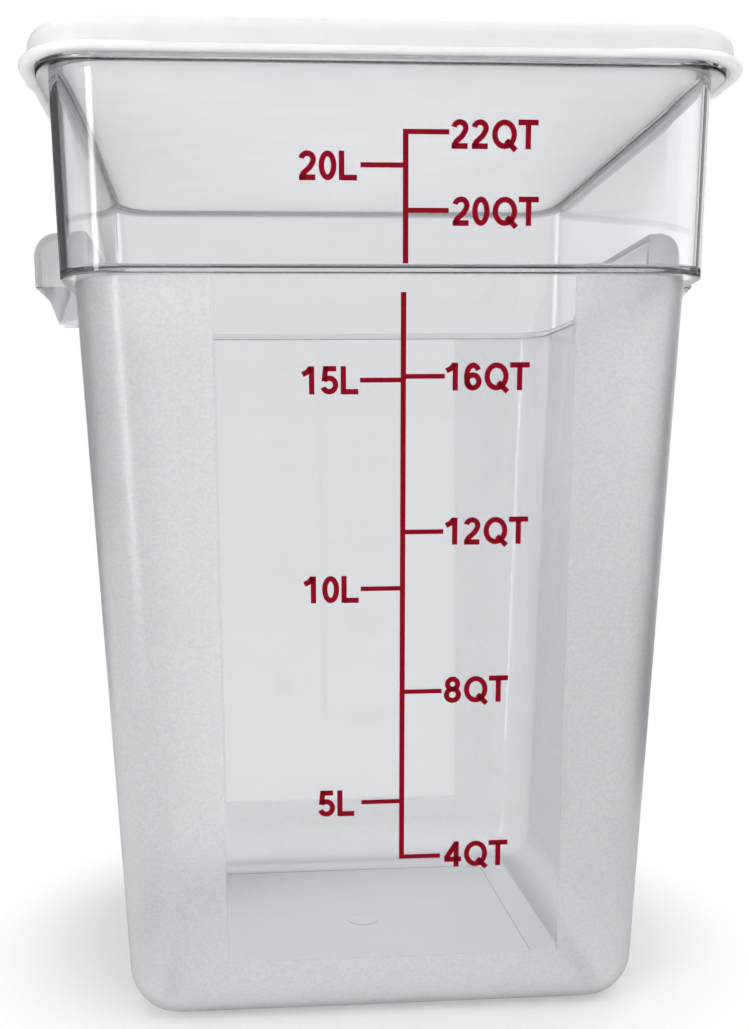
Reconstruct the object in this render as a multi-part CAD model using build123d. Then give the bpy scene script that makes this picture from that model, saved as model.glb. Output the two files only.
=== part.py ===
from build123d import *
import math
import os

# Dough proofing container: a clear square tub with two hooded handles and a printed scale,
# and a lid that lifts off. Millimetres, +Z up, origin on the surface below the middle of the base.
# The front, which carries the scale, faces -Y, and the handles stand on the +X and -X sides.

# Tub
tub_height = 400.0
wall = 3.0
floor_thickness = 3.4
base_width = 231.0
base_edge_radius = 21.0
body_flare = 11.5
base_corner_radius = 24.0
collar_height = 80.0
ledge_thickness = 3.2
ledge_edge_bevel = 0.9
collar_step = 5.2
collar_flare = 1.2
collar_corner_radius = 23.0

# Rim flange round the mouth
rim_overhang = 4.6
rim_corner_radius = 25.0
rim_thickness = 3.5
rim_edge_bevel = 0.7

# Base relief: a shallow hollow inside the foot ring, with the moulding gate's round boss in it
foot_ring_width = 14.0
base_hollow_depth = 0.8
base_hollow_radius = 10.0
gate_radius = 8.0
gate_height = 0.4

# Side handles
handle_length = 104.0
handle_reach = 19.6
handle_rise = 30.5
handle_face_drop = 23.5
handle_dome_radius = 10.5
handle_wall = 3.0
end_plate_thickness = 3.2
handle_edge_bevel = 0.6
gusset_knee_drop = 6.2
gusset_knee_inset = 6.2
gusset_knee_radius = 5.0
gusset_foot_drop = 17.4
gusset_foot_inset = 10.4
gusset_foot_radius = 4.0
gusset_lip_radius = 1.5

# Lid
lid_height = 14.0
lid_wall = 2.2
rim_clearance = 1.0
plug_clearance = 2.7
skirt_below_rim = 2.0
skirt_top_draft = 0.8
lid_edge_radius = 6.5
lip_height = 2.6
lip_overhang = 1.3
tab_overhang = 2.8
tab_length = 54.0
tab_end_run = 3.0
tab_end_radius = 4.0
lip_edge_bevel = 0.8
channel_edge_bevel = 2.5
stacking_draft = 1.6
stacking_edge_bevel = 2.0
recess_floor_bevel = 1.6
seal_rib_thickness = 1.8

# Printed scale on the front
ink_thickness = 0.12
scale_offset = 5.4
bar_width = 2.2
tick_width = 1.9
quart_tick_reach = 17.0
litre_tick_reach = 17.6
ledge_gap_above = 3.6
ledge_gap_below = 6.4
quart_mark_shares = [0.191, 0.3755, 0.545, 0.702, 0.8588, 0.9313]
litre_mark_shares = [0.2545, 0.4865, 0.6985, 0.9005]

# One overrun lets every cut pass its surface
overrun = 2.0

right_angle = 90

# Widths from the base up, and heights from the ledge
ledge_height = tub_height - collar_height
body_top_width = base_width + 2 * body_flare
collar_foot_width = body_top_width + 2 * collar_step
collar_top_width = collar_foot_width + 2 * collar_flare
rim_width = collar_top_width + 2 * rim_overhang
handle_top_height = ledge_height + handle_rise
handle_foot_height = handle_top_height - handle_face_drop


def rounded_square(width, radius, height):
    return Plane.XY.offset(height) * RectangleRounded(width, width, radius)


def drafted_block(radius, foot_width, foot, top_width, top):
    # a square block between two heights, whose sides and rounded corners slope alike
    slope = math.degrees(math.atan((foot_width - top_width) / 2 / (top - foot)))
    return extrude(rounded_square(foot_width, radius, foot), top - foot, taper=slope)


def body_width(height):
    return base_width + (body_top_width - base_width) * height / ledge_height


def body_radius(height):
    # the corners widen with the body
    return base_corner_radius + (body_width(height) - base_width) / 2


def collar_width(height):
    share = (height - ledge_height) / (tub_height - ledge_height)
    return collar_foot_width + (collar_top_width - collar_foot_width) * share


def collar_radius(height):
    return collar_corner_radius + (collar_width(height) - collar_foot_width) / 2


def lowest_edges(solid):
    return solid.faces().sort_by(Axis.Z)[0].edges()


def highest_edges(solid):
    return solid.faces().sort_by(Axis.Z)[-1].edges()


def edges_at_height(solid, height):
    return solid.edges().filter_by_position(Axis.Z, height, height)


def skirt_width():
    # across the outside of the lid's skirt at its foot
    return rim_width + 2 * (rim_clearance + lid_wall)


def skirt_radius():
    return rim_corner_radius + rim_clearance + lid_wall


def plug_width():
    # across the outside of the lid's plug, which hangs inside the tub's mouth
    return collar_width(tub_height) - 2 * (wall + plug_clearance)


def plug_radius():
    return collar_radius(tub_height) - wall - plug_clearance


def body_block():
    # the tapered lower part, as if solid
    top = ledge_height + ledge_thickness
    block = drafted_block(base_corner_radius, base_width, 0, body_width(top), top)
    return fillet(lowest_edges(block), base_edge_radius)


def collar_block():
    # the wider upper part, as if solid
    block = drafted_block(collar_corner_radius, collar_foot_width, ledge_height, collar_top_width, tub_height)
    return chamfer(lowest_edges(block), ledge_edge_bevel)


def rim_block():
    # the flat flange that the lid sits on
    foot = tub_height - rim_thickness
    block = extrude(rounded_square(rim_width, rim_corner_radius, foot), rim_thickness)
    return chamfer(lowest_edges(block) + highest_edges(block), rim_edge_bevel)


def tub_cavity():
    # the space inside the tub, wall by wall parallel to the outside
    top = ledge_height + ledge_thickness
    mouth = tub_height + overrun
    low_width = body_width(floor_thickness) - 2 * wall
    low_radius = body_radius(floor_thickness) - wall
    body = drafted_block(low_radius, low_width, floor_thickness, body_width(top) - 2 * wall, top)
    body = fillet(lowest_edges(body), base_edge_radius - wall)
    ledge_width = collar_width(top) - 2 * wall
    mouth_width = collar_width(mouth) - 2 * wall
    collar = drafted_block(collar_radius(top) - wall, ledge_width, top, mouth_width, mouth)
    return chamfer(edges_at_height(body + collar, top), ledge_edge_bevel)


def base_hollow():
    # the shallow relief inside the foot ring, less the round boss left by the gate
    width = base_width - 2 * base_edge_radius - 2 * foot_ring_width
    hollow = extrude(rounded_square(width, base_hollow_radius, 0), base_hollow_depth)
    boss = Cylinder(gate_radius, gate_height, align=(Align.CENTER, Align.CENTER, Align.MAX))
    return hollow - Pos(0, 0, base_hollow_depth) * boss


def handle_profile(root, outer):
    # outline of the end plate: dome, upright face, and a gusset that runs in to the body wall
    points = [
        (root, handle_top_height),
        (outer, handle_top_height),
        (outer, handle_foot_height),
        (outer - gusset_knee_inset, handle_foot_height - gusset_knee_drop),
        (outer - gusset_foot_inset, handle_foot_height - gusset_foot_drop),
        (root, handle_foot_height - gusset_foot_drop),
    ]
    radii = [0, handle_dome_radius, gusset_lip_radius, gusset_knee_radius, gusset_foot_radius, 0]
    return make_face(Plane.XZ * FilletPolyline(*points, radius=radii, close=True))


def handle_pocket(root, outer):
    # outline of the space for the fingers, open below
    roof = handle_top_height - handle_wall
    inner = outer - handle_wall
    low = handle_foot_height - gusset_foot_drop - overrun
    points = [
        (root, roof),
        (inner, roof),
        (inner, handle_foot_height),
        (outer + overrun, handle_foot_height),
        (outer + overrun, low),
        (root, low),
    ]
    radii = [0, handle_dome_radius - handle_wall, 0, 0, 0, 0]
    return make_face(Plane.XZ * FilletPolyline(*points, radius=radii, close=True))


def side_handle():
    # the handle on the +X side, rooted inside the tub's wall
    root = (base_width - wall) / 2
    outer = collar_foot_width / 2 + handle_reach
    hood = extrude(handle_profile(root, outer), handle_length / 2, both=True)
    ends = hood.faces().filter_by(Axis.Y)
    eased = [edge for face in ends for edge in face.edges() if edge.center().X > outer - gusset_foot_inset]
    hood = chamfer(eased, handle_edge_bevel)
    fingers = extrude(handle_pocket(root, outer), handle_length / 2 - end_plate_thickness, both=True)
    return hood - fingers


def tub():
    handle = side_handle()
    shell = body_block() + collar_block() + rim_block() + handle + mirror(handle, Plane.YZ)
    return shell - tub_cavity() - base_hollow()


def lid_shell():
    # skirt, crown and sunk top panel, with a rolled outer edge
    foot = tub_height - skirt_below_rim
    crown_width = skirt_width() - 2 * skirt_top_draft
    block = drafted_block(skirt_radius(), skirt_width(), foot, crown_width, foot + lid_height)
    block = block - stacking_recess()
    crown = block.faces().sort_by(Axis.Z)[-1]
    block = fillet(crown.outer_wire().edges(), lid_edge_radius)
    crown = block.faces().sort_by(Axis.Z)[-1]
    return chamfer(crown.inner_wires()[0].edges(), stacking_edge_bevel)


def lip_plan():
    # outline of the lip: wide round the corners, narrower along the middle of each side
    width = skirt_width() + 2 * tab_overhang
    edge = skirt_width() / 2 + lip_overhang
    step = tab_overhang - lip_overhang
    middle = width / 2 - tab_length
    corners = [
        (-middle - 2 * tab_end_run, edge + 2 * step),
        (-middle, edge),
        (middle, edge),
        (middle + 2 * tab_end_run, edge + 2 * step),
    ]
    plan = RectangleRounded(width, width, skirt_radius() + tab_overhang)
    for side in range(4):
        plan = plan - Rot(0, 0, side * right_angle) * make_face(Polyline(*corners, close=True))
    ends = [spot for spot in plan.vertices() if min(abs(spot.X), abs(spot.Y)) < middle + 2 * tab_end_run]
    return fillet(ends, tab_end_radius)


def lid_lip():
    # the flared lip round the skirt's foot, by whose corners the lid is pulled off
    foot = tub_height - skirt_below_rim
    inner = skirt_width() - lid_wall
    plan = lip_plan() - RectangleRounded(inner, inner, skirt_radius() - lid_wall / 2)
    lip = extrude(Plane.XY.offset(foot) * plan, lip_height)
    flats = lip.faces().filter_by(Axis.Z)
    return chamfer([edge for flat in flats for edge in flat.outer_wire().edges()], lip_edge_bevel)


def rim_channel():
    # the space under the crown, between the skirt and the plug, that takes the rim
    foot = tub_height - skirt_below_rim
    roof = foot + lid_height - lid_wall
    width = skirt_width() - 2 * lid_wall
    channel = drafted_block(skirt_radius() - lid_wall, width, foot, width - 2 * skirt_top_draft, roof)
    channel = chamfer(highest_edges(channel), channel_edge_bevel)
    plug = extrude(rounded_square(plug_width(), plug_radius(), foot), roof - foot)
    return channel - plug - seal_rib()


def seal_rib():
    # the ring that hangs in the channel and presses on the middle of the tub's wall
    roof = tub_height - skirt_below_rim + lid_height - lid_wall
    outer = collar_width(tub_height) - wall + seal_rib_thickness
    inner = outer - 2 * seal_rib_thickness
    outer_radius = collar_radius(tub_height) - (wall - seal_rib_thickness) / 2
    inner_radius = outer_radius - seal_rib_thickness
    ring = rounded_square(outer, outer_radius, tub_height) - rounded_square(inner, inner_radius, tub_height)
    return extrude(ring, roof - tub_height)


def stacking_recess():
    # the hollow over the sunk top panel, where the next container's base stands
    floor = tub_height - skirt_below_rim + lid_wall
    top = tub_height - skirt_below_rim + lid_height
    width = plug_width() - 2 * lid_wall
    radius = plug_radius() - lid_wall - stacking_draft
    recess = drafted_block(radius, width - 2 * stacking_draft, floor, width, top)
    return chamfer(lowest_edges(recess), recess_floor_bevel)


def lid():
    return lid_shell() + lid_lip() - rim_channel()


def front_plane(width_at, foot, top):
    # plane of a drafted front wall between two heights, its y axis running up the wall
    low = width_at(foot) / 2
    high = width_at(top) / 2
    upward = Vector(0, low - high, top - foot)
    return Plane(origin=(0, -low, foot), x_dir=(1, 0, 0), z_dir=Vector(1, 0, 0).cross(upward))


def printed_run(width_at, foot, top, low, high):
    # the upright bar from low to high, with the ticks that lie on it
    plane = front_plane(width_at, foot, top)
    rise = (plane.y_dir.Z) ** -1
    bar = Pos(scale_offset, ((low + high) / 2 - foot) * rise) * Rectangle(bar_width, (high - low) * rise)
    marks = [(share * tub_height, 1, quart_tick_reach) for share in quart_mark_shares]
    marks += [(share * tub_height, -1, litre_tick_reach) for share in litre_mark_shares]
    for height, side, reach in marks:
        if low - tick_width <= height <= high + tick_width:
            centre = Pos(scale_offset + side * reach / 2, (height - foot) * rise)
            bar = bar + centre * Rectangle(reach, tick_width)
    return extrude(plane * bar, ink_thickness)


def printed_scale():
    lowest = quart_mark_shares[0] * tub_height - tick_width / 2
    highest = quart_mark_shares[-1] * tub_height + tick_width / 2
    body = printed_run(body_width, 0, ledge_height, lowest, ledge_height - ledge_gap_below)
    collar = printed_run(collar_width, ledge_height, tub_height, ledge_height + ledge_gap_above, highest)
    return Compound([body, collar])


os.makedirs("parts", exist_ok=True)
export_step(tub(), "parts/tub.step")
export_step(lid(), "parts/lid.step")
export_step(printed_scale(), "parts/printed_scale.step")
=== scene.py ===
import math

import bmesh
import bpy
from mathutils import Matrix, Vector


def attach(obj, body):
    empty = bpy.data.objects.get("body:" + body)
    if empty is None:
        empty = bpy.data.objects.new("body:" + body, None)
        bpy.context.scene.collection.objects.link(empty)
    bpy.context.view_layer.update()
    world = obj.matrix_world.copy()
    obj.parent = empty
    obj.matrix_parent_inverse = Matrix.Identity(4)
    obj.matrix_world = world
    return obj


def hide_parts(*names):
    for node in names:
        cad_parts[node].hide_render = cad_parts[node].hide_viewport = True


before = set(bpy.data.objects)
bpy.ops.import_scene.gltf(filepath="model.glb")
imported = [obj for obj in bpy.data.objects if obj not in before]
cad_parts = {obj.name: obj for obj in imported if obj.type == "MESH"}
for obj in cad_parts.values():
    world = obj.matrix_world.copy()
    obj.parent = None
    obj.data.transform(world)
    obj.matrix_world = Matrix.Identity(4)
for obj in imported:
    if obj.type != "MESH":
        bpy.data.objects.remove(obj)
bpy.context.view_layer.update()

# Lengths are in millimetres until a mesh is finished, when they are scaled to metres.
MM = 0.001

# Tub
tub_height = 400.0
wall = 3.0
floor_thickness = 3.4
base_half = 115.5
base_edge_radius = 21.0
body_top_half = 127.0
body_corner_radius = 24.0
ledge_height = 320.0
ledge_thickness = 3.2
ledge_edge_radius = 1.2
collar_foot_half = 132.2
collar_top_half = 133.4
collar_corner_radius = 23.0
rim_half = 138.0
rim_corner_radius = 25.0
rim_thickness = 3.5
rim_edge_radius = 1.0
foot_ring_width = 14.0
base_hollow_depth = 0.3
base_hollow_radius = 10.0
base_hollow_ease = 0.3
gate_radius = 8.0
gate_height = 0.25

# Side handles
handle_length = 104.0
handle_outer = 151.8
handle_top_height = 350.5
handle_foot_height = 327.0
handle_dome_radius = 10.5
handle_wall = 3.0
end_plate_thickness = 3.2
handle_edge_radius = 0.8
gusset_knee_drop = 6.2
gusset_knee_inset = 6.2
gusset_knee_radius = 5.0
gusset_foot_drop = 17.4
gusset_foot_inset = 10.4
gusset_foot_radius = 4.0
gusset_lip_radius = 1.5
overrun = 2.0

# Finish of the tub: polished plastic, finely stippled on the body and satin on the handles' hoods. The milk is the
# share of its light that the plastic scatters, and how much that share changes from pebble to pebble.
stippled_faces = "stippled"
polish_patch = 30.0
polish_roughness = (0.015, 0.04)
stipple_size = 1.3
stipple_depth = 0.1
stipple_roughness = (0.275, 0.315)
satin_roughness = 0.12
body_milk = 0.22
milk_change = 0.06
handle_milk = 0.45
milk_let_through = 0.25
milk_colour = (0.93, 0.94, 0.96, 1)
# Painted light and shade on the stippled body: the plastic's tint is lighter on the pebbles' tops and darker in the
# hollows between them.
pebble_shading_span = 0.15
pebble_hollow_shade = (0.84, 0.845, 0.864, 1)
pebble_top_highlight = (0.996, 0.998, 1, 1)
smoke_colour = (0.525, 0.5375, 0.5875, 1)
smoke_density = 60.0
plastic_index = 1.5

# Lid
lid_height = 14.0
lid_wall = 2.2
rim_clearance = 1.0
plug_clearance = 2.7
skirt_below_rim = 2.0
skirt_top_draft = 0.8
lid_edge_radius = 6.5
lip_height = 2.6
lip_overhang = 1.3
tab_overhang = 2.8
tab_length = 54.0
tab_end_run = 6.0
tab_end_steps = 4
lip_edge_radius = 1.0
stacking_draft = 1.6
stacking_edge_radius = 3.0
seal_rib_thickness = 1.8
seal_gap = 0.05
lid_grey = (0.86, 0.865, 0.87, 1)
lid_white = (0.9, 0.903, 0.906, 1)
lid_roughness = (0.36, 0.46)
lid_patch = 18.0
lid_grain_size = 0.5
lid_grain_depth = 0.012
lid_glow_reach = 12.0

# Clear windows in the stippled front and back walls, up to the ledge. The back one is off centre the other way.
window_offset = 2.3
window_half_width = 73.3
window_foot = 30.0
back_window_foot = 37.0
window_edge_blur = 0.8

# Printed figures: the height of each one's middle, and the place of its edge beside the tick
ink_thickness = 0.12
ink_patch = 3.0
deep_ink = (0.2, 0.0003, 0.008, 1)
pale_ink = (0.235, 0.0006, 0.011, 1)
ink_roughness = (0.5, 0.65)
quart_figures = {
    "4QT": (76.8, 24.1),
    "8QT": (150.6, 23.4),
    "12QT": (218.1, 23.1),
    "16QT": (280.6, 22.6),
    "20QT": (343.3, 23.7),
    "22QT": (371.8, 23.0),
}
litre_figures = {
    "5L": (101.6, -15.2),
    "10L": (194.5, -13.0),
    "15L": (279.4, -12.9),
    "20L": (359.9, -13.6),
}
low_figure_width = 11.8
low_figure_height = 11.9
high_figure_width = 11.0
high_figure_height = 10.7

# Strokes of the figures, in shares of a figure's size: each sign has its width, straight strokes and arcs.
# An arc has its centre, half width, half height and the angles between which it runs.
stroke_width = 0.195
sign_gap = 0.08
arc_step = 10
signs = {
    "0": (0.62, [], [(0.31, 0.5, 0.215, 0.405, 0, 360)]),
    "1": (0.6, [[(0.36, 0), (0.36, 1)], [(0.03, 0.71), (0.2, 0.79), (0.33, 0.95)]], []),
    "2": (0.64, [[(0.52, 0.62), (0.42, 0.45), (0.18, 0.23), (0.11, 0.05)], [(0.03, 0.09), (0.6, 0.09)]],
          [(0.32, 0.7, 0.21, 0.205, 170, -25)]),
    "4": (0.66, [[(0.47, 0), (0.47, 1)], [(0.46, 0.93), (0.08, 0.33)], [(0.02, 0.3), (0.66, 0.3)]], []),
    "5": (0.64, [[(0.57, 0.91), (0.13, 0.91)], [(0.19, 1), (0.13, 0.46)]], [(0.31, 0.335, 0.23, 0.24, 140, -160)]),
    "6": (0.64, [], [(0.33, 0.5, 0.235, 0.405, 35, 260), (0.325, 0.325, 0.22, 0.23, 0, 360)]),
    "8": (0.64, [], [(0.32, 0.715, 0.19, 0.19, 0, 360), (0.32, 0.31, 0.225, 0.215, 0, 360)]),
    "L": (0.64, [[(0.1, 0), (0.1, 1)], [(0.1, 0.09), (0.64, 0.09)]], []),
    "Q": (0.88, [[(0.53, 0.3), (0.88, -0.05)]], [(0.47, 0.5, 0.345, 0.405, 0, 360)]),
    "T": (0.72, [[(0, 0.91), (0.72, 0.91)], [(0.36, 0), (0.36, 0.9)]], []),
}

# Floor: where its shadow starts to fade, where it is plain white, and its edge, with what it glows by itself
shadow_reach = 125.0
far_floor = 215.0
floor_reach = 6000.0
floor_gap = 0.1
floor_paint = (0.8, 0.8, 0.8, 1)
floor_glow = 0.12
floor_glow_through = 0.42

# Light: what more comes in through the plastic, how much brighter the room is beside the background, and where the
# background's middle and edges lie, as slopes sideways from straight back
white_light = (1, 1, 1, 1)
inner_gain = 1.9
side_glow = 0.35
background_slant = 0.08
background_half = 0.27
background_fade = 0.06

# Dark cards out of the picture: the two ends of each on the floor's plan, and the heights of its foot and its head
card_colour = (0.12, 0.122, 0.13, 1)
dark_cards = {
    "left_card": ((-480, 250), (-700, 1400), 0, 1200),
    "left_side_card": ((-560, -350), (-480, 250), 180, 700),
    "upper_card": ((-900, 500), (-560, 1400), 600, 1500),
    "right_card": ((900, 300), (1300, 1000), 0, 900),
    "side_card": ((640, -400), (660, 300), 0, 330),
    "low_card": ((400, -200), (400, 300), 0, 110),
}

# Lamps: the place of each, its width and height, and its power in watts
soft_lamps = {
    "key_lamp": ((-900, -900, 1100), (900, 700), 2),
    "strip_lamp": ((-570, -740, 250), (130, 900), 3),
    "fill_lamp": ((1000, -500, 700), (700, 900), 1.5),
}

# How finely the corners and edges are rounded
corner_steps = 16
edge_steps = 8
handle_edge_steps = 3
gate_steps = 48
floor_steps = 64
ring_gap = 100.0
weld_distance = 0.0005
smooth_angle = math.radians(30)

# Camera: its place, turn and lens, which are those of the photograph
camera_place = Vector((-60.362, -609.188, 240.795))
camera_yaw = 0.07019
camera_pitch = -0.15458
camera_roll = -0.01082
camera_focal_pixels = 1173.85
picture_width = 749
picture_height = 1029
picture_centre = (328.09, 660.20)
sensor_width = 36.0


class Value:
    """A socket of a material, on which plain arithmetic adds Math nodes."""

    def __init__(self, finish, socket):
        self.finish = finish
        self.socket = socket

    def math(self, operation, *others):
        inputs = {0: self}
        inputs.update(enumerate(others, start=1))
        return self.finish.node("ShaderNodeMath", {"operation": operation}, inputs)

    def __add__(self, other):
        return self.math("ADD", other)

    __radd__ = __add__

    def __mul__(self, other):
        return self.math("MULTIPLY", other)

    __rmul__ = __mul__

    def __truediv__(self, other):
        return self.math("DIVIDE", other)

    def __sub__(self, other):
        return self.math("SUBTRACT", other)

    def __rsub__(self, other):
        return (self * -1) + other

    def __abs__(self):
        return self.math("ABSOLUTE")


class Finish:
    """The nodes of one material or of the world."""

    def __init__(self, owner):
        self.owner = owner
        owner.use_nodes = True
        self.tree = owner.node_tree
        self.tree.nodes.clear()

    def node(self, kind, settings=None, inputs=None, output=0):
        made = self.tree.nodes.new(kind)
        for name, setting in (settings or {}).items():
            setattr(made, name, setting)
        for name, value in (inputs or {}).items():
            if isinstance(value, Value):
                self.tree.links.new(value.socket, made.inputs[name])
            else:
                made.inputs[name].default_value = value
        return Value(self, made.outputs[output]) if made.outputs else made

    def place(self):
        return self.node("ShaderNodeTexCoord", output="Object")

    def axes(self, vector):
        return [self.node("ShaderNodeSeparateXYZ", None, {0: vector}, output=axis) for axis in "XYZ"]

    def ramp(self, value, low, high, to_low=0.0, to_high=1.0):
        inputs = {"Value": value, "From Min": low, "From Max": high, "To Min": to_low, "To Max": to_high}
        return self.node("ShaderNodeMapRange", {"interpolation_type": "SMOOTHSTEP"}, inputs)

    def noise(self, size, detail=2.0):
        """A cloudy value about 0.5 whose patches are about that many millimetres across."""
        inputs = {"Vector": self.place(), "Scale": 1 / (size * MM), "Detail": detail}
        return self.node("ShaderNodeTexNoise", None, inputs)

    def spread(self, cloud, low=0.0, high=1.0):
        """Takes the span that a noise mostly keeps to, to the one between low and high."""
        return self.ramp(cloud, 0.3, 0.7, low, high)

    def blend(self, factor, first, second):
        inputs = {0: factor, 6: first, 7: second}
        return self.node("ShaderNodeMix", {"data_type": "RGBA"}, inputs, output=2)

    def relief(self, height, depth):
        """A bump of that depth in millimetres."""
        return self.node("ShaderNodeBump", None, {"Height": height, "Distance": depth * MM, "Strength": 1.0})

    def surface(self, shader, **inside):
        self.node("ShaderNodeOutputMaterial", None, {"Surface": shader, **inside})
        return self.owner


def new_finish(name):
    return Finish(bpy.data.materials.new(name))


def tub_plastic():
    """Clear plastic, polished inside and on the collar, and stippled outside on the body but for two windows."""
    finish = new_finish("tub_plastic")
    across, deep, up = finish.axes(finish.place())
    edge = window_edge_blur * MM
    side = deep.math("SIGN")
    reach = abs(across + side * window_offset * MM)
    beside = finish.ramp(reach, window_half_width * MM - edge, window_half_width * MM + edge)
    foot = (side + 1) * (back_window_foot - window_foot) / 2 * MM + window_foot * MM
    below = 1 - finish.ramp(up - foot, -edge, edge)
    around = beside.math("MAXIMUM", below)
    # the mark is 1 on the stippled body and 2 on the satin hoods
    marked = finish.node("ShaderNodeAttribute", {"attribute_name": stippled_faces}, output="Fac")
    satin = (marked - 1).math("MAXIMUM", 0.0)
    stippled = (marked - satin * 2) * around
    grain = finish.noise(stipple_size)
    milk_here = finish.spread(grain, body_milk - milk_change, body_milk + milk_change)
    milky = stippled * milk_here + satin * handle_milk
    polish = finish.spread(finish.noise(polish_patch), *polish_roughness)
    roughness = polish + stippled * finish.spread(grain, *stipple_roughness) + satin * satin_roughness
    # painted shade in the hollows between the pebbles and painted highlight on their tops, carried in the plastic's
    # tint
    pebble_shading = finish.ramp((grain - 0.5) * stippled, -pebble_shading_span, pebble_shading_span)
    shader = finish.node("ShaderNodeBsdfPrincipled", None, {
        "Base Color": finish.blend(pebble_shading, pebble_hollow_shade, pebble_top_highlight),
        "Roughness": roughness,
        "IOR": plastic_index,
        "Transmission Weight": 1.0,
        "Normal": finish.relief(grain * stippled, stipple_depth),
    })
    # the tiny pebbles also scatter light, which makes the stippled plastic milky
    milk = [finish.node(kind, None, {"Color": milk_colour})
            for kind in ("ShaderNodeBsdfDiffuse", "ShaderNodeBsdfTranslucent")]
    milk = finish.node("ShaderNodeMixShader", None, {0: milk_let_through, 1: milk[0], 2: milk[1]})
    shader = finish.node("ShaderNodeMixShader", None, {0: milky, 1: shader, 2: milk})
    # a faint grey inside the plastic shows where it is looked through edge on
    smoke = finish.node("ShaderNodeVolumeAbsorption", None, {"Color": smoke_colour, "Density": smoke_density})
    return finish.surface(shader, Volume=smoke)


def lid_plastic():
    """White satin plastic, a little uneven."""
    finish = new_finish("lid_plastic")
    cloud = finish.noise(lid_patch, 3.0)
    grain = finish.noise(lid_grain_size)
    colour = finish.blend(finish.spread(cloud), lid_grey, lid_white)
    return finish.surface(finish.node("ShaderNodeBsdfPrincipled", None, {
        "Base Color": colour,
        "Roughness": finish.spread(cloud, *lid_roughness),
        "IOR": plastic_index,
        "Subsurface Weight": 1.0,
        "Subsurface Radius": (1.0, 1.0, 1.0),
        "Subsurface Scale": lid_glow_reach * MM,
        "Normal": finish.relief(grain, lid_grain_depth),
    }))


def scale_ink():
    """Deep red screen print, slightly uneven in strength."""
    finish = new_finish("scale_ink")
    cloud = finish.noise(ink_patch, 3.0)
    colour = finish.blend(finish.spread(cloud), deep_ink, pale_ink)
    return finish.surface(finish.node("ShaderNodeBsdfPrincipled", None, {
        "Base Color": colour,
        "Roughness": finish.spread(cloud, *ink_roughness),
        "IOR": 1.45,
        "Specular IOR Level": 0.08,
    }))


def shade_smooth(mesh):
    mesh.shade_smooth()
    mesh.set_sharp_from_angle(angle=smooth_angle)


def new_object(name, bm, materials):
    """Turns a mesh drawn in millimetres into an object in metres at the origin."""
    bmesh.ops.remove_doubles(bm, verts=bm.verts, dist=weld_distance)
    bmesh.ops.recalc_face_normals(bm, faces=bm.faces)
    bmesh.ops.scale(bm, vec=(MM, MM, MM), verts=bm.verts)
    mesh = bpy.data.meshes.new(name)
    bm.to_mesh(mesh)
    bm.free()
    shade_smooth(mesh)
    for material in materials:
        mesh.materials.append(material)
    made = bpy.data.objects.new(name, mesh)
    bpy.context.scene.collection.objects.link(made)
    return made


def combine(target, tool, operation):
    """Joins the tool to the target or cuts it out, and removes the tool."""
    step = target.modifiers.new("combine", "BOOLEAN")
    step.operation = operation
    step.solver = "EXACT"
    step.object = tool
    graph = bpy.context.evaluated_depsgraph_get()
    finished = bpy.data.meshes.new_from_object(target.evaluated_get(graph))
    target.modifiers.clear()
    target.data = finished
    bpy.data.objects.remove(tool)
    shade_smooth(finished)


def ring(bm, half, radius, height, capped):
    """Draws one rounded square and returns its edges."""
    before = set(bm.edges)
    corners = bmesh.ops.create_circle(bm, cap_ends=True, segments=4, radius=half * math.sqrt(2))["verts"]
    bmesh.ops.rotate(bm, verts=corners, cent=(0, 0, 0), matrix=Matrix.Rotation(math.pi / 4, 3, "Z"))
    bmesh.ops.translate(bm, verts=corners, vec=(0, 0, height))
    bmesh.ops.bevel(bm, geom=corners, offset=radius, offset_type="OFFSET",
                    segments=corner_steps, profile=0.5, affect="VERTICES", material=-1)
    edges = [edge for edge in bm.edges if edge not in before]
    if not capped:
        bmesh.ops.delete(bm, geom=edges[0].link_faces[:], context="FACES_ONLY")
    return edges


def loft(sections, finish_of=None):
    """Joins rounded squares in turn and closes both ends. They are joined well apart, then set to their heights."""
    bm = bmesh.new()
    rings = []
    for index, (half, radius, _) in enumerate(sections):
        apart = index * ring_gap
        rings.append(ring(bm, half, radius, apart, capped=index in (0, len(sections) - 1)))
        if index:
            faces = bmesh.ops.bridge_loops(bm, edges=rings[-2] + rings[-1])["faces"]
            for face in faces:
                face.material_index = finish_of(index) if finish_of else 0
    for index, (_, _, height) in enumerate(sections):
        corners = list({corner for edge in rings[index] for corner in edge.verts})
        bmesh.ops.translate(bm, verts=corners, vec=(0, 0, height - index * ring_gap))
    return bm


def edge_round(half, radius, height, bend, start, stop):
    """Sections round an edge, whose arc has its centre at that half width and height."""
    sections = []
    for step in range(edge_steps + 1):
        angle = math.radians(start + (stop - start) * step / edge_steps)
        out = bend * math.cos(angle)
        sections.append((half + out, radius + out, height + bend * math.sin(angle)))
    return sections


def body_half(height):
    return base_half + (body_top_half - base_half) * height / ledge_height


def collar_half(height):
    share = (height - ledge_height) / (tub_height - ledge_height)
    return collar_foot_half + (collar_top_half - collar_foot_half) * share


def collar_corner(height):
    return collar_corner_radius + collar_half(height) - collar_foot_half


def body_draft():
    return math.atan((body_top_half - base_half) / ledge_height)


def base_round(inset, bend, height):
    """The rounded edge between a body wall, set in by that much, and the floor."""
    draft = body_draft()
    reach = inset + bend / math.cos(draft)
    return edge_round(body_half(height) - reach, body_corner_radius - reach, height, bend, -90, -math.degrees(draft))


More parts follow.
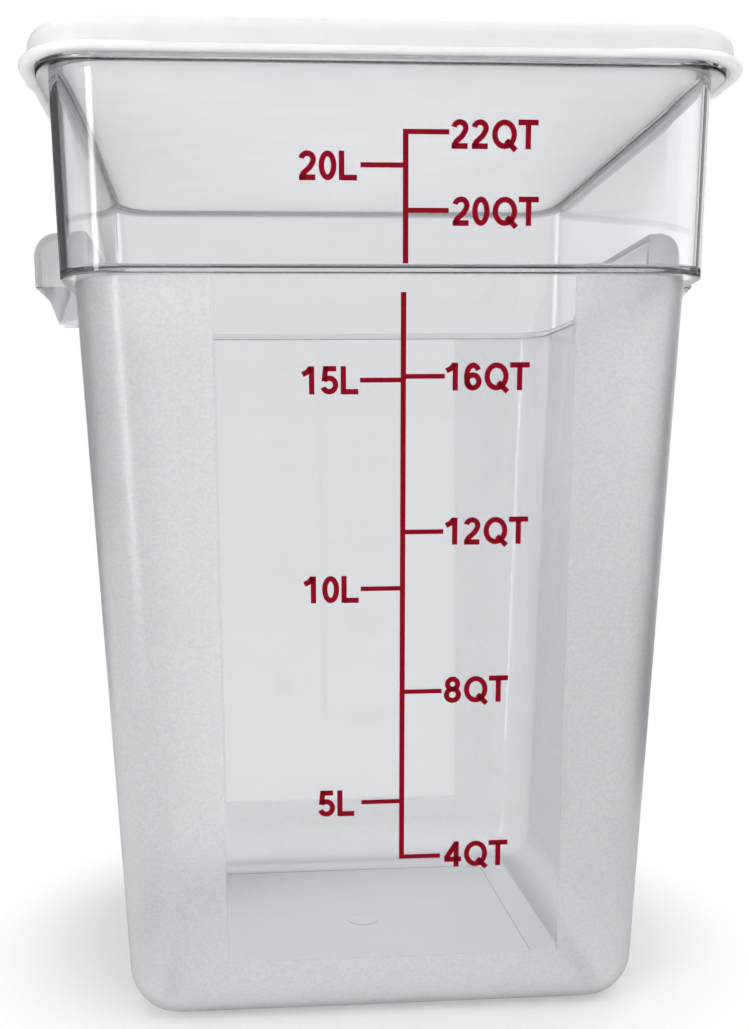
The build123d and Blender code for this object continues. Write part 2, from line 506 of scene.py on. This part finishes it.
def tub_outside():
    """The tub as if solid, stippled from the base's rounded edge to the ledge."""
    ring_inner = base_half - base_edge_radius - foot_ring_width
    hollow = [
        (ring_inner - base_hollow_ease, base_hollow_radius - base_hollow_ease, base_hollow_depth),
        (ring_inner, base_hollow_radius, 0),
    ]
    base = base_round(0, base_edge_radius, base_edge_radius)
    body = [(body_half(ledge_height), body_corner_radius, ledge_height)]
    bend = ledge_edge_radius
    ledge = edge_round(collar_foot_half - bend, collar_corner_radius - bend, ledge_height + bend, bend, -90, 0)
    rim_foot = tub_height - rim_thickness
    bend = rim_edge_radius
    lower = edge_round(rim_half - bend, rim_corner_radius - bend, rim_foot + bend, bend, -90, 0)
    upper = edge_round(rim_half - bend, rim_corner_radius - bend, tub_height - bend, bend, 0, 90)
    rim = [(collar_half(rim_foot), collar_corner(rim_foot), rim_foot)] + lower + upper
    stippled = range(len(hollow) + 1, len(hollow) + len(base) + len(body))
    return loft(hollow + base + body + ledge + rim, lambda index: int(index in stippled))


def tub_cavity():
    """The space inside the tub."""
    ledge = ledge_height + ledge_thickness
    mouth = tub_height + overrun
    base = base_round(wall, base_edge_radius - wall, floor_thickness + base_edge_radius - wall)
    bend = ledge_edge_radius
    inner = body_half(ledge) - wall
    radius = body_corner_radius - wall
    body = edge_round(inner + bend, radius + bend, ledge - bend, bend, 180, 90)
    outer = collar_half(ledge) - wall
    radius = collar_corner(ledge) - wall
    collar = edge_round(outer - bend, radius - bend, ledge + bend, bend, -90, 0)
    top = [(collar_half(mouth) - wall, collar_corner(mouth) - wall, mouth)]
    return loft(base + body + collar + top)


def plate(points, bends, length):
    """An upright plate: an outline in X and Z with rounded corners, given its length along Y."""
    bm = bmesh.new()
    corners = [bm.verts.new((x, -length / 2, z)) for x, z in points]
    bm.faces.new(corners)
    count = len(points)
    for index, bend in enumerate(bends):
        if bend:
            here = Vector(points[index])
            turn = (Vector(points[index - 1]) - here).angle(Vector(points[(index + 1) % count]) - here)
            bmesh.ops.bevel(bm, geom=[corners[index]], offset=bend / math.tan(turn / 2), offset_type="OFFSET",
                            segments=edge_steps, profile=0.5, affect="VERTICES", material=-1)
    made = bmesh.ops.extrude_face_region(bm, geom=bm.faces[:])["geom"]
    moved = [item for item in made if isinstance(item, bmesh.types.BMVert)]
    bmesh.ops.translate(bm, verts=moved, vec=(0, length, 0))
    bmesh.ops.recalc_face_normals(bm, faces=bm.faces)
    return bm


def gate_boss():
    """The low round boss that the mould's gate leaves under the floor."""
    bm = bmesh.new()
    bmesh.ops.create_cone(bm, cap_ends=True, segments=gate_steps, radius1=gate_radius, radius2=gate_radius,
                          depth=2 * gate_height)
    bmesh.ops.translate(bm, verts=bm.verts, vec=(0, 0, base_hollow_depth))
    return bm


def handle_hood(root):
    """The handle's outside: a dome over a finger space, with gussets that run in to the body."""
    outer = handle_outer
    points = [
        (root, handle_top_height),
        (outer, handle_top_height),
        (outer, handle_foot_height),
        (outer - gusset_knee_inset, handle_foot_height - gusset_knee_drop),
        (outer - gusset_foot_inset, handle_foot_height - gusset_foot_drop),
        (root, handle_foot_height - gusset_foot_drop),
    ]
    bends = [0, handle_dome_radius, gusset_lip_radius, gusset_knee_radius, gusset_foot_radius, 0]
    bm = plate(points, bends, handle_length)
    ends = [face for face in bm.faces if abs(face.normal.y) > 0.9]
    edges = {edge for face in ends for edge in face.edges}
    rounded = [edge for edge in edges if sum(vert.co.x for vert in edge.verts) / 2 > outer - gusset_foot_inset]
    bmesh.ops.bevel(bm, geom=rounded, offset=handle_edge_radius, offset_type="OFFSET",
                    segments=handle_edge_steps, profile=0.5, affect="EDGES", material=-1)
    bmesh.ops.bisect_plane(bm, geom=bm.verts[:] + bm.edges[:] + bm.faces[:], plane_co=(0, 0, handle_foot_height),
                           plane_no=(0, 0, 1))
    return bm


def finger_space(root):
    """The space inside the hood, open below."""
    inner = handle_outer - handle_wall
    beyond = handle_outer + overrun
    low = handle_foot_height - gusset_foot_drop - overrun
    roof = handle_top_height - handle_wall
    points = [
        (root, roof),
        (inner, roof),
        (inner, handle_foot_height),
        (beyond, handle_foot_height),
        (beyond, low),
        (root, low),
    ]
    bends = [0, handle_dome_radius - handle_wall, 0, 0, 0, 0]
    return plate(points, bends, handle_length - 2 * end_plate_thickness)


def lid_sections():
    """The lid's skin from the middle of its underside round to the middle of its top."""
    foot = tub_height - skirt_below_rim
    roof = foot + lid_height - lid_wall
    top = foot + lid_height
    bend = lip_edge_radius
    plug = collar_top_half - wall - plug_clearance
    plug_corner = collar_corner(tub_height) - wall - plug_clearance
    sections = edge_round(plug - bend, plug_corner - bend, foot + bend, bend, -90, 0)
    sections.append((plug, plug_corner, roof))
    rib = collar_top_half - wall / 2
    rib_corner = collar_corner(tub_height) - wall / 2
    near, far = (rib - seal_rib_thickness / 2, rib + seal_rib_thickness / 2)
    near_corner, far_corner = (rib_corner - seal_rib_thickness / 2, rib_corner + seal_rib_thickness / 2)
    pressed = tub_height + seal_gap
    sections += [(near, near_corner, roof), (near, near_corner, pressed), (far, far_corner, pressed),
                 (far, far_corner, roof)]
    skirt = rim_half + rim_clearance
    skirt_corner = rim_corner_radius + rim_clearance
    bend = lid_edge_radius - lid_wall
    inset = skirt_top_draft + bend
    sections += edge_round(skirt - inset, skirt_corner - inset, roof - bend, bend, 90, 0)
    sections.append((skirt, skirt_corner, foot))
    bend = lip_edge_radius
    tab = skirt + lid_wall + tab_overhang - bend
    tab_corner = skirt_corner + lid_wall + tab_overhang - bend
    sections += edge_round(tab, tab_corner, foot + bend, bend, -90, 0)
    sections += edge_round(tab, tab_corner, foot + lip_height - bend, bend, 0, 90)
    skirt += lid_wall
    skirt_corner += lid_wall
    sections.append((skirt, skirt_corner, foot + lip_height))
    bend = lid_edge_radius
    inset = skirt_top_draft + bend
    sections += edge_round(skirt - inset, skirt_corner - inset, top - bend, bend, 0, 90)
    bend = stacking_edge_radius
    recess = plug - lid_wall
    recess_corner = plug_corner - lid_wall
    sections += edge_round(recess + bend, recess_corner + bend, top - bend, bend, 90, 180)
    floor = foot + lid_wall
    inset = stacking_draft + bend
    sections += edge_round(recess - inset, recess_corner - inset, floor + bend, bend, 0, -90)
    return sections


def draw_in_lip(bm):
    """Narrows the lip along the middle of each side, so that its corners stand out as pull tabs."""
    foot = tub_height - skirt_below_rim
    start = rim_half + rim_clearance + lid_wall + tab_overhang - tab_length
    for step in range(tab_end_steps + 1):
        reach = start + tab_end_run * step / tab_end_steps
        for way in (Vector((1, 0, 0)), Vector((-1, 0, 0)), Vector((0, 1, 0)), Vector((0, -1, 0))):
            geometry = bm.verts[:] + bm.edges[:] + bm.faces[:]
            bmesh.ops.bisect_plane(bm, geom=geometry, plane_co=way * reach, plane_no=way)
    outer = rim_half + rim_clearance + lid_wall + seal_gap
    for corner in bm.verts:
        if corner.co.z < foot + lip_height + seal_gap:
            for out, along in ((0, 1), (1, 0)):
                spare = max(0.0, min(1.0, (abs(corner.co[along]) - start) / tab_end_run))
                eased = 1 - spare * spare * (3 - 2 * spare)
                if abs(corner.co[out]) > outer:
                    corner.co[out] -= math.copysign((tab_overhang - lip_overhang) * eased, corner.co[out])


def lid(plastic):
    bm = loft(lid_sections())
    draw_in_lip(bm)
    return new_object("lid_shell", bm, [plastic])


def wall_place(across, height):
    """A place on the front wall, with the wall's own upward and outward directions."""
    on_body = height < ledge_height
    half = body_half(height) if on_body else collar_half(height)
    rise = ledge_height if on_body else tub_height - ledge_height
    flare = body_top_half - base_half if on_body else collar_top_half - collar_foot_half
    upward = Vector((0, -flare, rise)).normalized()
    outward = Vector((1, 0, 0)).cross(upward)
    turn = Matrix((Vector((1, 0, 0)), upward, outward)).transposed().to_4x4()
    return Matrix.Translation((across, -half, height)) @ turn


def add_stroke(curve, points, closed=False):
    spline = curve.splines.new("POLY")
    spline.points.add(len(points) - 1)
    for spot, (x, y) in zip(spline.points, points):
        spot.co = (x, y, 0, 1)
    spline.use_cyclic_u = closed


def stroke_profile():
    """The upright rectangle that is swept along each stroke, one unit thick."""
    curve = bpy.data.curves.new("stroke_profile", "CURVE")
    side = stroke_width / 2
    add_stroke(curve, [(-side, 0), (side, 0), (side, 1), (-side, 1)], closed=True)
    return bpy.data.objects.new("stroke_profile", curve)


def drawn_words(words, profile):
    """The words as a flat solid one figure high, and how wide they are."""
    curve = bpy.data.curves.new("words", "CURVE")
    curve.dimensions = "2D"
    curve.fill_mode = "NONE"
    curve.bevel_mode = "OBJECT"
    curve.bevel_object = profile
    curve.use_fill_caps = True
    reach = 0
    for letter in words:
        width, lines, arcs = signs[letter]
        for line in lines:
            add_stroke(curve, [(reach + x, y) for x, y in line])
        for x, y, wide, high, start, stop in arcs:
            whole = stop - start == 360
            count = round(abs(stop - start) / arc_step)
            turns = [math.radians(start + (stop - start) * step / count) for step in range(count + (not whole))]
            add_stroke(curve, [(reach + x + wide * math.cos(turn), y + high * math.sin(turn)) for turn in turns],
                       closed=whole)
        reach += width + sign_gap
    drawn = bpy.data.objects.new("words", curve)
    bpy.context.scene.collection.objects.link(drawn)
    graph = bpy.context.evaluated_depsgraph_get()
    mesh = bpy.data.meshes.new_from_object(drawn.evaluated_get(graph))
    bpy.data.objects.remove(drawn)
    return mesh, reach - sign_gap


def figure(words, height, edge, profile, from_right=False):
    """One printed figure as a thin solid on the front wall. Those lower down are larger."""
    mesh, width = drawn_words(words, profile)
    share = height / tub_height
    wide = low_figure_width + (high_figure_width - low_figure_width) * share
    tall = low_figure_height + (high_figure_height - low_figure_height) * share
    size = Matrix.Diagonal((wide, tall, ink_thickness, 1))
    middle = Matrix.Translation((-width if from_right else 0, -0.5, 0))
    mesh.transform(wall_place(edge, height) @ size @ middle)
    return mesh


def scale_figures(ink):
    bm = bmesh.new()
    profile = stroke_profile()
    for words, (height, edge) in quart_figures.items():
        bm.from_mesh(figure(words, height, edge, profile))
    for words, (height, edge) in litre_figures.items():
        bm.from_mesh(figure(words, height, edge, profile, from_right=True))
    bpy.data.objects.remove(profile)
    return new_object("scale_figures", bm, [ink])


def mark_stippled(mesh):
    """Keeps which faces are stippled, and which milky, as an attribute, since one plastic fills the whole skin."""
    marks = mesh.attributes.new(stippled_faces, "FLOAT", "FACE")
    for face in mesh.polygons:
        marks.data[face.index].value = face.material_index
        face.material_index = 0
    while len(mesh.materials) > 1:
        mesh.materials.pop()


def tub(plastic):
    """The whole tub in one skin: outside, handles, then the space inside cut out."""
    finishes = [plastic, plastic, plastic]
    made = new_object("tub_shell", tub_outside(), finishes)
    combine(made, new_object("boss", gate_boss(), finishes), "UNION")
    root = base_half
    for side in (0, math.pi):
        turn = Matrix.Rotation(side, 4, "Z")
        hood = new_object("hood", handle_hood(root), finishes)
        for face in hood.data.polygons:
            face.material_index = 2 * (face.center.z > handle_foot_height * MM)
        combine(hood, new_object("space", finger_space(root - overrun), finishes), "DIFFERENCE")
        hood.data.transform(turn)
        combine(made, hood, "UNION")
    combine(made, new_object("cavity", tub_cavity(), finishes), "DIFFERENCE")
    mark_stippled(made.data)
    return made


def through_plastic(finish):
    """How much more light comes in through the clear walls to matt surfaces than single rays find."""
    depth = finish.node("ShaderNodeLightPath", output="Diffuse Depth").math("MINIMUM", 1.0)
    inside = finish.node("ShaderNodeLightPath", output="Is Transmission Ray")
    return 1 + depth * inside * inner_gain


def seen_directly(finish):
    """One for what the camera sees, also in gloss and through the plastic, and nought for what lights the object."""
    rays = [finish.node("ShaderNodeLightPath", output=name)
            for name in ("Is Camera Ray", "Is Glossy Ray", "Is Transmission Ray")]
    return rays[0].math("MAXIMUM", rays[1]).math("MAXIMUM", rays[2])


def add_floor():
    """A pale floor, which shows as plain white apart from the shadow."""
    finish = new_finish("floor_white")
    away = finish.node("ShaderNodeVectorMath", {"operation": "LENGTH"}, {0: finish.place()}, output="Value")
    seen = seen_directly(finish)
    far = finish.ramp(away, shadow_reach * MM, far_floor * MM)
    paint = finish.node("ShaderNodeBsdfDiffuse", None, {"Color": floor_paint})
    inside = finish.node("ShaderNodeLightPath", output="Is Transmission Ray")
    glow = seen * floor_glow + inside * floor_glow_through
    glow = finish.node("ShaderNodeEmission", None, {"Color": white_light, "Strength": glow})
    near = finish.node("ShaderNodeAddShader", None, {0: paint, 1: glow})
    white = finish.node("ShaderNodeEmission", None, {"Color": white_light, "Strength": through_plastic(finish)})
    finish.surface(finish.node("ShaderNodeMixShader", None, {0: far * seen, 1: near, 2: white}))
    bm = bmesh.new()
    bmesh.ops.create_circle(bm, cap_ends=True, segments=floor_steps, radius=floor_reach)
    bmesh.ops.translate(bm, verts=bm.verts, vec=(0, 0, -floor_gap))
    made = new_object("floor", bm, [finish.owner])


def add_world():
    """A plain white room, white behind the container and dimmer towards the sides."""
    world = bpy.data.worlds.new("room")
    bpy.context.scene.world = world
    finish = Finish(world)
    towards = finish.node("ShaderNodeTexCoord", output="Generated")
    across, back, up = finish.axes(towards)
    room = finish.ramp(back, 0.15, 0.9, 0.8, 1.0).math("MAXIMUM", finish.ramp(up, 0.3, 0.9, 0.8, 1.1))
    # the parts just beside the background are brighter, and light the clear plastic's edges
    aside = abs(across / back - background_slant)
    beside = finish.ramp(aside, background_half, background_half + background_fade) * finish.ramp(back, 0.3, 0.6)
    room = room * (1 + beside * side_glow)
    seen = finish.node("ShaderNodeLightPath", output="Is Camera Ray")
    level = (seen + (1 - seen) * room) * through_plastic(finish)
    shade = finish.node("ShaderNodeBackground", None, {"Color": white_light, "Strength": level})
    finish.node("ShaderNodeOutputWorld", None, {"Surface": shade})


def add_card(name, near, far, foot, head):
    """An upright dark card, which draws the dark edges of clear plastic and isn't in the picture itself."""
    finish = new_finish(name)
    finish.surface(finish.node("ShaderNodeBsdfDiffuse", None, {"Color": card_colour}))
    bm = bmesh.new()
    bmesh.ops.create_grid(bm, x_segments=1, y_segments=1, size=0.5)
    along = Vector(far) - Vector(near)
    place = (Vector(far) + Vector(near)) / 2
    turn = Matrix.Rotation(math.atan2(along.y, along.x), 4, "Z") @ Matrix.Rotation(math.pi / 2, 4, "X")
    size = Matrix.Diagonal((along.length, head - foot, 1, 1))
    upright = Matrix.Translation((*place, (foot + head) / 2))
    bmesh.ops.transform(bm, matrix=upright @ turn @ size, verts=bm.verts)
    made = new_object(name, bm, [finish.owner])
    made.visible_camera = False


def add_lamp(name, place, size, power):
    """A soft rectangular lamp aimed at the middle of the container."""
    data = bpy.data.lights.new(name, "AREA")
    data.shape = "RECTANGLE"
    data.size, data.size_y = size[0] * MM, size[1] * MM
    data.energy = power
    lamp = bpy.data.objects.new(name, data)
    lamp.location = Vector(place) * MM
    aim = Vector((0, 0, tub_height * MM / 2)) - lamp.location
    lamp.rotation_mode = "QUATERNION"
    lamp.rotation_quaternion = aim.to_track_quat("-Z", "Y")
    bpy.context.scene.collection.objects.link(lamp)


def add_camera():
    """The camera of the photograph."""
    look = Vector((
        math.sin(camera_yaw) * math.cos(camera_pitch),
        math.cos(camera_yaw) * math.cos(camera_pitch),
        math.sin(camera_pitch),
    ))
    level = look.cross(Vector((0, 0, 1))).normalized()
    upright = level.cross(look)
    right = level * math.cos(camera_roll) + upright * math.sin(camera_roll)
    top = upright * math.cos(camera_roll) - level * math.sin(camera_roll)
    data = bpy.data.cameras.new("camera")
    data.sensor_fit = "HORIZONTAL"
    data.sensor_width = sensor_width
    data.lens = camera_focal_pixels * sensor_width / picture_width
    data.shift_x = (picture_width / 2 - picture_centre[0]) / picture_width
    data.shift_y = (picture_centre[1] - picture_height / 2) / picture_width
    data.clip_start = 0.01
    camera = bpy.data.objects.new("camera", data)
    turn = Matrix((right, top, -look)).transposed().to_4x4()
    camera.matrix_world = Matrix.Translation(camera_place * MM) @ turn
    bpy.context.scene.collection.objects.link(camera)
    bpy.context.scene.camera = camera


def carry(piece, body):
    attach(piece, body)


def dress():
    """The finished container."""
    ink = scale_ink()
    shell = tub(tub_plastic())
    carry(shell, "tub_body")
    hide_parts("tub")
    cover = lid(lid_plastic())
    carry(cover, "lid_body")
    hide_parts("lid")
    carry(scale_figures(ink), "tub_body")
    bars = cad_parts["printed_scale"].data
    bars.materials.clear()
    bars.materials.append(ink)


bpy.context.scene.view_settings.view_transform = "Standard"
dress()
add_floor()
add_world()
for card_name, card_place in dark_cards.items():
    add_card(card_name, *card_place)
for lamp_name, lamp_light in soft_lamps.items():
    add_lamp(lamp_name, *lamp_light)
add_camera()
